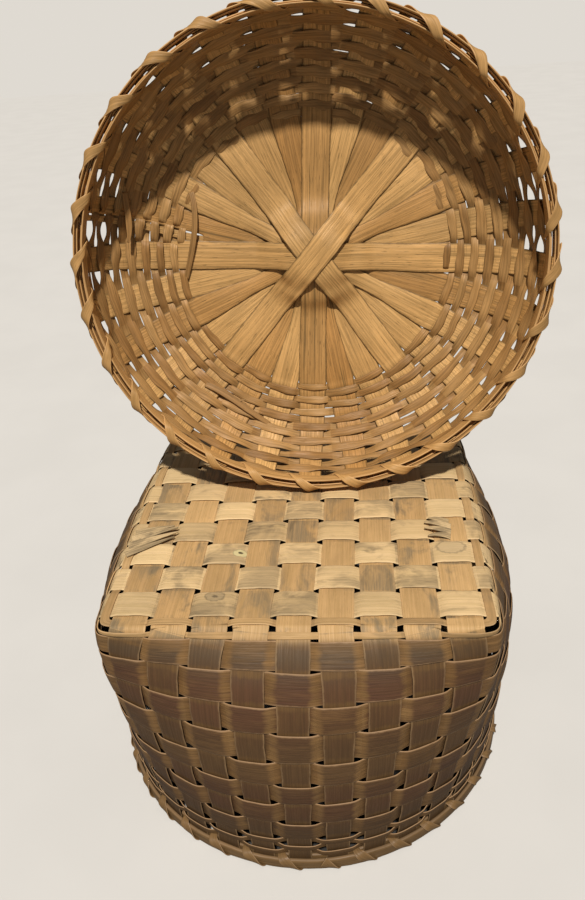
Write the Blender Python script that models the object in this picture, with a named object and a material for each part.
"""Square-to-round splint basket with its lid off.

The basket stands upside down on its round rim, so its square woven base is on top.
The lid leans back on that base, its inside to the front.
Every length is in metres. +Z is up and the front is towards -Y.
The origin is the middle of the base's outer face.
"""

import math

import bmesh
import bpy
import numpy as np
from mathutils import Vector

# Splints of the basket
STAKE_THICK = 0.0008
STAKE_WIDTH = 0.0215
STAKE_RIM_WIDTH = 0.0165
WEAVER_THICK = 0.0008
WEAVE_GAP = 0.0003
ROW_GAP = 0.0005
EDGE_CLEAR = 0.0002

# Base of the basket
STAKES_PER_SIDE = 9
STAKE_PITCH = 0.026
EDGE_WEAVER_WIDTH = 0.0056
EDGE_ROOM = 0.0008
FOLD_RADIUS = 0.002

# Wall of the basket, rows counted from the base down to the rim
BELLY_OUT = 0.06
RIM_FLARE = 0.0256
RIM_SET_OVER = 0.005
BELLY_POWER = 2
ROUND_EASE = 0.25
WALL_EDGE_ROW = 0.0034
WIDE_ROW = 0.0197
WIDE_ROW_SHARES = (0.73, 1.09, 1.06, 1.27, 1.12, 0.98, 1.10, 0.92)
RIM_ROW = 0.0066
RIM_ROWS = 3
CORNER_SHARE = 0.6

# Rim of the basket
HOOP_THICK = 0.003
HOOP_WIDTH = 0.0095
LASH_THICK = 0.0008
LASH_WIDTH = 0.0065
LASH_SLOT = 0.0019
BIND_GAP = 0.0003
WRAP_TURN_SHARES = (0.05, 0.6, 0.7, 0.95)

# Lid
SPOKES = 14
SPOKE_THICK = 0.0005
SPOKE_WIDTH = 0.0198
SPOKE_RIM_WIDTH = 0.017
SPOKE_WAIST = 0.0122
SPOKE_STEPS = 9
PILE_GAP = 0.00025
PILE_RADIUS = 0.056
PRESS_RADIUS = 0.082
PRESS_LIFT = 0.0011
PILE_SINK = 0.003
LID_FLAT_RADIUS = 0.097
LID_DEPTH = 0.06
LID_OVER_RIM = 0.002
LID_WEAVER_THICK = 0.0006
LID_WEAVE_GAP = 0.00055
LID_ROWS = 14
FIRST_ROW = 0.0049
LID_ROW_GAP = 0.0009
LID_HOOP_WIDTH = 0.0100
SLIT_START = 0.012
SLIT_WIDTH = 0.003
SLIT_SHARE = 0.22
FIRST_SPOKE_DEG = -3.5
# Spokes from the bottom of the pile at the hub to the top of it, each by its place round the lid
PILE_ORDER = (1, 13, 3, 5, 9, 11, 8, 6, 12, 2, 7, 0, 10, 4)
TOP_SPOKES = (0, 10, 4)
SPLIT_SPOKE = 13

# How the lid leans on the base
LEAN_DEG = 9.0
TURN_DEG = 1.5
LID_SHIFT = 0.0125
LID_SET_BACK = 0.046
REST_GAP = 0.0003

# Colour and roughness of the splints
STRAW = ((0.50, 0.38, 0.22), 0.6)
TAN = ((0.42, 0.28, 0.14), 0.6)
BROWN = ((0.24, 0.15, 0.09), 0.65)
DARK_HONEY = ((0.30, 0.18, 0.09), 0.55)
HONEY = ((0.48, 0.30, 0.13), 0.5)
GOLD = ((0.42, 0.25, 0.10), 0.5)

# Sizes that follow from the ones above
SIDES = 4
SIDE_DEG = 90
FULL_TURN_DEG = 360
NUDGE_SHARE = 0.01
STAKE_COUNT = SIDES * STAKES_PER_SIDE
STAKE_STEP_DEG = FULL_TURN_DEG / STAKE_COUNT
LAST_PLACE = (STAKES_PER_SIDE - 1) // 2
PROFILE_POINTS = 400
WEAVE_STEP = (STAKE_THICK + WEAVER_THICK) / 2 + WEAVE_GAP
PLY_Z = -(WEAVE_STEP + STAKE_THICK / 2)
GRID_HALF = STAKES_PER_SIDE * STAKE_PITCH / 2
EDGE_WEAVER_MIDDLE = GRID_HALF + ROW_GAP + EDGE_WEAVER_WIDTH / 2
FOLD_HALF = EDGE_WEAVER_MIDDLE + EDGE_WEAVER_WIDTH / 2 + EDGE_ROOM + FOLD_RADIUS
FOLD_Z = PLY_Z - FOLD_RADIUS
RIM_WALL_RADIUS = FOLD_HALF + RIM_FLARE
WALL_FALL = WALL_EDGE_ROW + WIDE_ROW * sum(WIDE_ROW_SHARES) + RIM_ROW * RIM_ROWS
HOOP_TOP_FALL = WALL_FALL + LASH_SLOT
HOOP_LOW_FALL = HOOP_TOP_FALL + HOOP_WIDTH
LASH_REACH = BIND_GAP + LASH_THICK / 2
SPOKE_STEP_DEG = FULL_TURN_DEG / (2 * SPOKES)
PILE_STEP = SPOKE_THICK + PILE_GAP
LID_WEAVE_STEP = (SPOKE_THICK + LID_WEAVER_THICK) / 2 + LID_WEAVE_GAP


def rim_stack(wall_thick):
    """How far the hoops' far faces lie from the middle of the wall between them."""
    return wall_thick / 2 + BIND_GAP + HOOP_THICK


def corner_radius(flat, facets):
    """The corner radius of a many-sided ring whose flats lie at a given distance."""
    return flat / math.cos(math.pi / facets)


LASH_FACE = LASH_REACH + LASH_THICK / 2
BASKET_OUTER = corner_radius(RIM_WALL_RADIUS + rim_stack(STAKE_THICK), STAKE_COUNT) + LASH_FACE
LID_WALL_RADIUS = BASKET_OUTER + LID_OVER_RIM + LASH_THICK + BIND_GAP + rim_stack(SPOKE_THICK)
LID_OUTER = corner_radius(LID_WALL_RADIUS + rim_stack(SPOKE_THICK), 2 * SPOKES) + LASH_FACE
LID_HOOP_TOP = -LASH_FACE
LID_HOOP_LOW = LID_HOOP_TOP - LID_HOOP_WIDTH
LID_WALL_TOP = LID_HOOP_LOW - LASH_SLOT
LID_FLOOR = -LID_DEPTH


def unit(vector):
    """The vector at length one."""
    return vector / np.linalg.norm(vector)


def make_finish(name, colour, roughness):
    """A plain material with one colour and roughness."""
    finish = bpy.data.materials.new(name)
    finish.use_nodes = True
    shader = finish.node_tree.nodes["Principled BSDF"]
    shader.inputs["Base Color"].default_value = (*colour, 1)
    shader.inputs["Roughness"].default_value = roughness
    shader.inputs["Metallic"].default_value = 0
    finish.diffuse_color = (*colour, 1)
    return finish


def add_object(name, mesh, colour, roughness, parent=None):
    """A named object with a material of its own, hung from a parent if one is given."""
    piece = bpy.data.objects.new(name, mesh)
    bpy.context.collection.objects.link(piece)
    mesh.materials.append(make_finish(name, colour, roughness))
    piece.parent = parent
    return piece


def add_sheet(name, points, faces, thickness, look, parent=None):
    """A surface of corner points and faces, made solid by the same amount to both sides."""
    mesh = bpy.data.meshes.new(name)
    mesh.from_pydata([tuple(point) for point in points], [], faces)
    piece = add_object(name, mesh, *look, parent)
    body = piece.modifiers.new("splint", "SOLIDIFY")
    body.thickness = thickness
    body.offset = 0
    body.use_even_offset = True
    body.use_quality_normals = True
    return piece


def ladder(left, right):
    """Two triangles between each pair of rungs, their shared edge from the left to the next right."""
    faces = []
    for here in range(len(left) - 1):
        faces.append((left[here], left[here + 1], right[here + 1]))
        faces.append((left[here], right[here + 1], right[here]))
    return faces


def add_ribbon(name, left, right, thickness, look, closed=False, parent=None):
    """A splint along paired points of its left and right edge."""
    points = [point for pair in zip(left, right) for point in pair]
    lefts = list(range(0, len(points), 2))
    if closed:
        lefts.append(0)
    return add_sheet(name, points, ladder(lefts, [spot + 1 for spot in lefts]), thickness, look, parent)


def turned(side, x, y, z):
    """A point of the front side, turned about the axis to the given side: front, right, back, left."""
    for _ in range(side):
        x, y = -y, x
    return np.array([x, y, z])


def wall_form(fall):
    """How far down the wall a fall is, the square's half width there, and the circle's share of the form."""
    drop = min(fall / WALL_FALL, 1)
    belly = FOLD_HALF + BELLY_OUT * (1 - (1 - drop) ** BELLY_POWER)
    mix = (1 + ROUND_EASE) * drop / (drop + ROUND_EASE)
    return drop, belly, mix


def set_over(spot, drop):
    """The point moved to the left, as far as the old basket leans that way at a drop."""
    return spot - np.array([RIM_SET_OVER * drop, 0, 0])


def wall_point(side, place, fall):
    """A point in the middle of the basket's wall.

    place counts stakes from the middle of the side. fall is the drop below the fold.
    The wall is a square that bellies out and turns into the rim's circle on its way down.
    """
    drop, belly, mix = wall_form(fall)
    turn = math.radians(place * STAKE_STEP_DEG)
    x = (1 - mix) * place * STAKE_PITCH * belly / FOLD_HALF + mix * RIM_WALL_RADIUS * math.sin(turn)
    y = -(1 - mix) * belly - mix * RIM_WALL_RADIUS * math.cos(turn)
    return set_over(turned(side, x, y, FOLD_Z - fall), drop)


def wall_corner(side, fall):
    """The point of the wall at the corner that ends a side."""
    drop, belly, mix = wall_form(fall)
    reach = (1 - mix) * belly + mix * RIM_WALL_RADIUS * math.sqrt(1 / 2)
    return set_over(turned(side, reach, -reach, FOLD_Z - fall), drop)


def wall_frame(side, place, fall):
    """The middle of a stake at a fall, the way along the row, and the way out of the wall."""
    nudge = NUDGE_SHARE * WALL_FALL
    middle = wall_point(side, place, fall)
    along = unit(wall_point(side, place + NUDGE_SHARE, fall) - wall_point(side, place - NUDGE_SHARE, fall))
    down = unit(wall_point(side, place, fall + nudge) - wall_point(side, place, max(fall - nudge, 0)))
    return middle, along, unit(np.cross(down, along))


def stake_width(fall):
    """A stake's width on the wall: it narrows a little down to the rim."""
    return STAKE_WIDTH + (STAKE_RIM_WIDTH - STAKE_WIDTH) * min(fall / WALL_FALL, 1)


def row_falls():
    """Where each row of the wall starts and ends, below the fold."""
    heights = [WALL_EDGE_ROW] + [share * WIDE_ROW for share in WIDE_ROW_SHARES] + [RIM_ROW] * RIM_ROWS
    ends = [sum(heights[:row + 1]) for row in range(len(heights))]
    return list(zip([0] + ends, ends))


def stake_leg(side, place):
    """Both edges of a stake's leg, from the fold down to the rim."""
    wide = row_falls()[:1 + len(WIDE_ROW_SHARES)]
    falls = [0] + [end for _, end in wide] + [WALL_FALL, HOOP_LOW_FALL]
    lows, highs = [], []
    for fall in falls:
        middle, along, _ = wall_frame(side, place, fall)
        lows.append(middle - along * stake_width(fall) / 2)
        highs.append(middle + along * stake_width(fall) / 2)
    return lows, highs


def crosswise_rise(column, row):
    """Above or below: the crosswise stakes pass over every second lengthwise one."""
    return WEAVE_STEP if (column + row) % 2 == 0 else -WEAVE_STEP


def base_run(row, woven):
    """Distance and height along a stake's flat run: level, or over and under the other stakes."""
    end = FOLD_HALF - FOLD_RADIUS
    run = [(-end, PLY_Z)]
    if woven:
        run.append((-GRID_HALF, PLY_Z))
        for column in range(-LAST_PLACE, LAST_PLACE + 1):
            height = PLY_Z + crosswise_rise(column, row)
            reach = STAKE_WIDTH / 2 + EDGE_CLEAR
            run.append((column * STAKE_PITCH - reach, height))
            run.append((column * STAKE_PITCH + reach, height))
        run.append((GRID_HALF, PLY_Z))
    run.append((end, PLY_Z))
    return run


def add_stake(name, place, crosswise, look):
    """One splint: up the wall, across the base and down the wall on the other side."""
    first_side, last_side = (3, 1) if crosswise else (0, 2)
    first_place, last_place = (-place, place) if crosswise else (place, -place)
    low, high = stake_leg(first_side, first_place)
    left, right = low[::-1], high[::-1]
    for distance, height in base_run(place, crosswise):
        middle = place * STAKE_PITCH
        half = STAKE_WIDTH / 2
        if crosswise:
            left.append((distance, middle + half, height))
            right.append((distance, middle - half, height))
        else:
            left.append((middle - half, distance, height))
            right.append((middle + half, distance, height))
    low, high = stake_leg(last_side, last_place)
    add_ribbon(name, left + high, right + low, STAKE_THICK, look)


def add_wall_row(name, start, end, parity, look):
    """One ring of weaving: outside every second stake and inside the others."""
    tops, lows = [], []
    for side in range(SIDES):
        for count in range(STAKES_PER_SIDE):
            rise = WEAVE_STEP if (side * STAKES_PER_SIDE + count + parity) % 2 == 0 else -WEAVE_STEP
            for way in (-1, 1):
                for edge, fall in ((tops, start + ROW_GAP / 2), (lows, end - ROW_GAP / 2)):
                    middle, along, out = wall_frame(side, count - LAST_PLACE, fall)
                    reach = stake_width(fall) / 2 + EDGE_CLEAR
                    edge.append(middle + way * reach * along + rise * out)
        if end < CORNER_SHARE * WALL_FALL:
            tops.append(wall_corner(side, start + ROW_GAP / 2))
            lows.append(wall_corner(side, end - ROW_GAP / 2))
    add_ribbon(name, lows, tops, WEAVER_THICK, look, closed=True)


def add_base_edge_weaver(look):
    """The narrow splint that runs round the base, in its plane, over and under the stake ends."""
    inner, outer = [], []
    for side in range(SIDES):
        for count in range(STAKES_PER_SIDE):
            rise = WEAVE_STEP if (side * STAKES_PER_SIDE + count) % 2 == 1 else -WEAVE_STEP
            for way in (-1, 1):
                along = (count - LAST_PLACE) * STAKE_PITCH + way * (STAKE_WIDTH / 2 + EDGE_CLEAR)
                for edge, half in ((inner, -EDGE_WEAVER_WIDTH / 2), (outer, EDGE_WEAVER_WIDTH / 2)):
                    edge.append(turned(side, along, -(EDGE_WEAVER_MIDDLE + half), PLY_Z + rise))
        for edge, half in ((inner, -EDGE_WEAVER_WIDTH / 2), (outer, EDGE_WEAVER_WIDTH / 2)):
            reach = EDGE_WEAVER_MIDDLE + half
            edge.append(turned(side, reach, -reach, PLY_Z))
    add_ribbon("base_edge_weaver", outer, inner, WEAVER_THICK, look, closed=True)


def add_hoop(name, flat, thick, low, high, facets, start_deg, look, parent=None):
    """A bent rim stick: a rectangle spun about the axis, a flat to each stake."""
    start = Vector((math.cos(math.radians(start_deg)), math.sin(math.radians(start_deg)), 0))
    corners = []
    shape = bmesh.new()
    for reach, height in ((flat, low), (flat + thick, low), (flat + thick, high), (flat, high)):
        spot = start * corner_radius(reach, facets)
        corners.append(shape.verts.new((spot.x, spot.y, height)))
    edges = [shape.edges.new(pair) for pair in zip(corners, corners[1:] + corners[:1])]
    bmesh.ops.spin(
        shape, geom=edges, cent=(0, 0, 0), axis=(0, 0, 1), angle=2 * math.pi, steps=facets, use_merge=True
    )
    bmesh.ops.recalc_face_normals(shape, faces=shape.faces)
    mesh = bpy.data.meshes.new(name)
    shape.to_mesh(mesh)
    shape.free()
    return add_object(name, mesh, *look, parent)


def add_lashing(name, wraps, start_deg, way, wall, slot_z, edge_z, look, parent=None):
    """The binding splint: it winds round both hoops, through the wall once between two stakes.

    way is 1 where it goes round with the stakes' count and -1 where it goes against it.
    """
    wall_radius, wall_thick = wall
    outer = corner_radius(wall_radius + rim_stack(wall_thick), wraps) + LASH_REACH
    inner = wall_radius - rim_stack(wall_thick) - LASH_REACH
    route = list(zip((outer, outer, inner, inner), (slot_z, edge_z, edge_z, slot_z), WRAP_TURN_SHARES))
    left, right = [], []
    for wrap in range(wraps):
        for radius, height, share in route:
            turn = math.radians(start_deg + way * (wrap + share) * FULL_TURN_DEG / wraps)
            spot = np.array([radius * math.cos(turn), radius * math.sin(turn), height])
            along = np.array([-math.sin(turn), math.cos(turn), 0])
            left.append(spot + along * LASH_WIDTH / 2)
            right.append(spot - along * LASH_WIDTH / 2)
    return add_ribbon(name, left, right, LASH_THICK, look, parent=parent)


def bowl_table():
    """Distance along the lid's profile past its flat middle, with the radius and height there.

    The profile is a quarter of an ellipse from the flat middle up to the upright rim.
    """
    turn = np.linspace(0, math.pi / 2, PROFILE_POINTS)
    radius = LID_FLAT_RADIUS + (LID_WALL_RADIUS - LID_FLAT_RADIUS) * np.sin(turn)
    height = LID_WALL_TOP + (LID_FLOOR - LID_WALL_TOP) * np.cos(turn)
    length = np.concatenate([[0], np.cumsum(np.hypot(np.diff(radius), np.diff(height)))])
    return length, radius, height


def bowl_frame(angle, distance):
    """The middle of a spoke at a distance past the flat, the way round, and the way in."""
    length, radius, height = bowl_table()
    nudge = NUDGE_SHARE * length[-1]

    def profile(spot):
        past = max(spot - length[-1], 0)
        short = min(spot, 0)
        return np.array([np.interp(spot, length, radius) + short, np.interp(spot, length, height) + past])

    here = profile(distance)
    slope = unit(profile(distance + nudge) - profile(distance - nudge))
    out = np.array([math.cos(angle), math.sin(angle), 0])
    along = np.array([-math.sin(angle), math.cos(angle), 0])
    up = np.array([0, 0, 1])
    return out * here[0] + up * here[1], along, up * slope[0] - out * slope[1]


def spoke_width(distance):
    """A spoke's width past the flat: it narrows a little up to the rim."""
    share = min(max(distance, 0) / bowl_table()[0][-1], 1)
    return SPOKE_WIDTH + (SPOKE_RIM_WIDTH - SPOKE_WIDTH) * share


def spoke_arm(level, on_top):
    """A spoke's stations from the hub to the rim: distance past the flat, lift and width."""
    pile_lift = level * PILE_STEP - PILE_SINK
    stations = [(PILE_RADIUS - LID_FLAT_RADIUS, pile_lift, SPOKE_WIDTH if on_top else SPOKE_WAIST)]
    if on_top:
        stations.append((PRESS_RADIUS - LID_FLAT_RADIUS, PRESS_LIFT, SPOKE_WIDTH))
    arc = bowl_table()[0][-1]
    for step in range(SPOKE_STEPS + 1):
        turn = math.pi / 2 * step / SPOKE_STEPS
        radius = LID_FLAT_RADIUS + (LID_WALL_RADIUS - LID_FLAT_RADIUS) * math.sin(turn)
        distance = float(np.interp(radius, bowl_table()[1], bowl_table()[0])) if step < SPOKE_STEPS else arc
        stations.append((distance, 0, spoke_width(distance)))
    stations.append((arc + LID_HOOP_LOW + LID_HOOP_WIDTH - LID_WALL_TOP, 0, SPOKE_RIM_WIDTH))
    return stations


def slit_sides(distance, width):
    """Where the slit in the split spoke's end lies across it, from its middle: near and far side."""
    opening = SLIT_WIDTH * min(max(distance / SLIT_START + 1, 0), 1)
    return SLIT_SHARE * width - opening / 2, SLIT_SHARE * width + opening / 2


def fork_station(arm):
    """The station where the split begins, between the pile at the hub and the first row."""
    (pile, lift, waist), (ring, _, width) = arm[0], arm[1]
    share = (-SLIT_START - pile) / (ring - pile)
    return -SLIT_START, lift * (1 - share), waist + (width - waist) * share


def spoke_edges(bearing, way, arm):
    """Left and right edge of one arm of a spoke, way 1 outwards or -1 back to the hub."""
    left, right = [], []
    for distance, lift, width in arm[::way]:
        middle, along, inward = bowl_frame(bearing, distance)
        left.append(middle + inward * lift + way * along * width / 2)
        right.append(middle + inward * lift - way * along * width / 2)
    return left, right


def add_spoke(place, level, look, parent):
    """One splint right across the lid, up both sides, lifted where it lies in the pile at the hub."""
    angle = math.radians(FIRST_SPOKE_DEG + place * SPOKE_STEP_DEG)
    arm = spoke_arm(level, place in TOP_SPOKES)
    name = f"lid_spoke_{place + 1:02d}"
    left, right = spoke_edges(angle + math.pi, -1, arm)
    if place != SPLIT_SPOKE:
        far_left, far_right = spoke_edges(angle, 1, arm)
        add_ribbon(name, left + far_left, right + far_right, SPOKE_THICK, look, parent=parent)
        return
    hub_left, hub_right = spoke_edges(angle, 1, arm[:1])
    left, right = left + hub_left, right + hub_right
    prongs = [fork_station(arm)] + arm[1:]
    outer_left, outer_right = spoke_edges(angle, 1, prongs)
    slit_left, slit_right = [], []
    for distance, lift, width in prongs:
        middle, along, inward = bowl_frame(angle, distance)
        near, far = slit_sides(distance, width)
        slit_left.append(middle + inward * lift + along * far)
        slit_right.append(middle + inward * lift + along * near)
    rows = [left, right, outer_left, outer_right, slit_left, slit_right[1:]]
    points = [point for row in rows for point in row]
    starts = [sum(len(row) for row in rows[:count]) for count in range(len(rows) + 1)]
    lefts, rights, outer_lefts, outer_rights, slit_lefts, slit_rights = (
        list(range(start, end)) for start, end in zip(starts, starts[1:])
    )
    fork = slit_lefts[0]
    faces = ladder(lefts, rights)
    faces.append((lefts[-1], outer_lefts[0], fork))
    faces.append((lefts[-1], fork, rights[-1]))
    faces.append((fork, outer_rights[0], rights[-1]))
    faces += ladder(outer_lefts, slit_lefts) + ladder([fork] + slit_rights, outer_rights)
    add_sheet(name, points, faces, SPOKE_THICK, look, parent)


def lid_warps():
    """What the lid's weaver crosses on its way round: bearings, and which part of a split end."""
    warps = []
    for end in range(2 * SPOKES):
        parts = ("near", "far") if end == SPLIT_SPOKE else ("whole",)
        warps += [(math.radians(FIRST_SPOKE_DEG + end * SPOKE_STEP_DEG), part) for part in parts]
    return warps


def warp_sides(part, distance):
    """Both edges of a whole or split spoke end, across it from its middle."""
    width = spoke_width(distance)
    near, far = slit_sides(distance, width)
    return {"whole": (-width / 2, width / 2), "near": (-width / 2, near), "far": (far, width / 2)}[part]


def add_lid_weaver(look, parent):
    """The lid's one long weaver: a spiral up the bowl, over and under an odd number of spoke ends.

    Each turn is a little wider than the turn before, and the last one ends under the hoops.
    """
    warps = lid_warps()
    arc = bowl_table()[0][-1]
    growth = (arc - LID_ROW_GAP - FIRST_ROW * (LID_ROWS + 1)) * 2 / (LID_ROWS * LID_ROWS + LID_ROWS)
    lows, highs = [], []
    for count in range(LID_ROWS * len(warps)):
        bearing, part = warps[count % len(warps)]
        turn = count / len(warps)
        middle = FIRST_ROW / 2 + FIRST_ROW * turn + growth * turn ** 2 / 2
        half = (FIRST_ROW + growth * turn - LID_ROW_GAP) / 2
        lift = LID_WEAVE_STEP if count % 2 == 0 else -LID_WEAVE_STEP
        for way in (0, 1):
            for edge, distance in ((lows, middle - half), (highs, middle + half)):
                spot, along, inward = bowl_frame(bearing, distance)
                side = warp_sides(part, distance)[way] + (2 * way - 1) * EDGE_CLEAR
                edge.append(spot + inward * lift + along * side)
    add_ribbon("lid_weaver", lows, highs, LID_WEAVER_THICK, look, parent=parent)


def build_basket():
    """The basket: stakes, rows of weaving, and the bound rim."""
    for place in range(-LAST_PLACE, LAST_PLACE + 1):
        number = place + LAST_PLACE + 1
        add_stake(f"stake_lengthwise_{number}", place, False, TAN)
        add_stake(f"stake_crosswise_{number}", place, True, STRAW)
    add_base_edge_weaver(STRAW)
    for row, (start, end) in enumerate(row_falls()):
        wide = row - 1
        if row == 0:
            name = "wall_edge_weaver"
        elif wide < len(WIDE_ROW_SHARES):
            name = f"wall_weaver_{wide + 1}"
        else:
            name = f"rim_weaver_{wide - len(WIDE_ROW_SHARES) + 1}"
        add_wall_row(name, start, end, row % 2, BROWN)
    rim = bpy.data.objects.new("rim_place", None)
    bpy.context.collection.objects.link(rim)
    rim.location = (-RIM_SET_OVER, 0, 0)
    gap_deg = -SIDE_DEG + STAKE_STEP_DEG / 2
    near = RIM_WALL_RADIUS - rim_stack(STAKE_THICK)
    far = RIM_WALL_RADIUS + rim_stack(STAKE_THICK) - HOOP_THICK
    low, high = FOLD_Z - HOOP_LOW_FALL, FOLD_Z - HOOP_TOP_FALL
    add_hoop("basket_inner_hoop", near, HOOP_THICK, low, high, STAKE_COUNT, gap_deg, DARK_HONEY, rim)
    add_hoop("basket_outer_hoop", far, HOOP_THICK, low, high, STAKE_COUNT, gap_deg, DARK_HONEY, rim)
    slot = FOLD_Z - (WALL_FALL + HOOP_TOP_FALL) / 2
    add_lashing(
        "basket_lashing", STAKE_COUNT, gap_deg, 1, (RIM_WALL_RADIUS, STAKE_THICK), slot, low - LASH_REACH,
        DARK_HONEY, rim
    )


def build_lid():
    """The lid: spokes in a pile at the hub, a spiral of weaving, and the bound rim, leant on the base."""
    lean = math.radians(LEAN_DEG)
    depth = (LID_HOOP_TOP - LID_WALL_TOP) + LASH_REACH
    stand = bpy.data.objects.new("lid_place", None)
    bpy.context.collection.objects.link(stand)
    height = LID_OUTER * math.cos(lean) + depth * math.sin(lean) + REST_GAP
    stand.location = (LID_SHIFT, LID_SET_BACK, height)
    stand.rotation_euler = (math.radians(SIDE_DEG) - lean, 0, math.radians(TURN_DEG))
    for level, place in enumerate(PILE_ORDER):
        add_spoke(place, level, HONEY, stand)
    add_lid_weaver(GOLD, stand)
    facets = 2 * SPOKES
    gap_deg = FIRST_SPOKE_DEG + SPOKE_STEP_DEG / 2
    near = LID_WALL_RADIUS - rim_stack(SPOKE_THICK)
    far = LID_WALL_RADIUS + rim_stack(SPOKE_THICK) - HOOP_THICK
    add_hoop("lid_inner_hoop", near, HOOP_THICK, LID_HOOP_LOW, LID_HOOP_TOP, facets, gap_deg, GOLD, stand)
    add_hoop("lid_outer_hoop", far, HOOP_THICK, LID_HOOP_LOW, LID_HOOP_TOP, facets, gap_deg, GOLD, stand)
    slot = (LID_WALL_TOP + LID_HOOP_LOW) / 2
    add_lashing(
        "lid_lashing", facets, gap_deg, -1, (LID_WALL_RADIUS, SPOKE_THICK), slot, LID_HOOP_TOP + LASH_REACH,
        GOLD, stand
    )


def main():
    for old in list(bpy.data.objects):
        bpy.data.objects.remove(old)
    build_basket()
    build_lid()


if __name__ == "__main__":
    main()
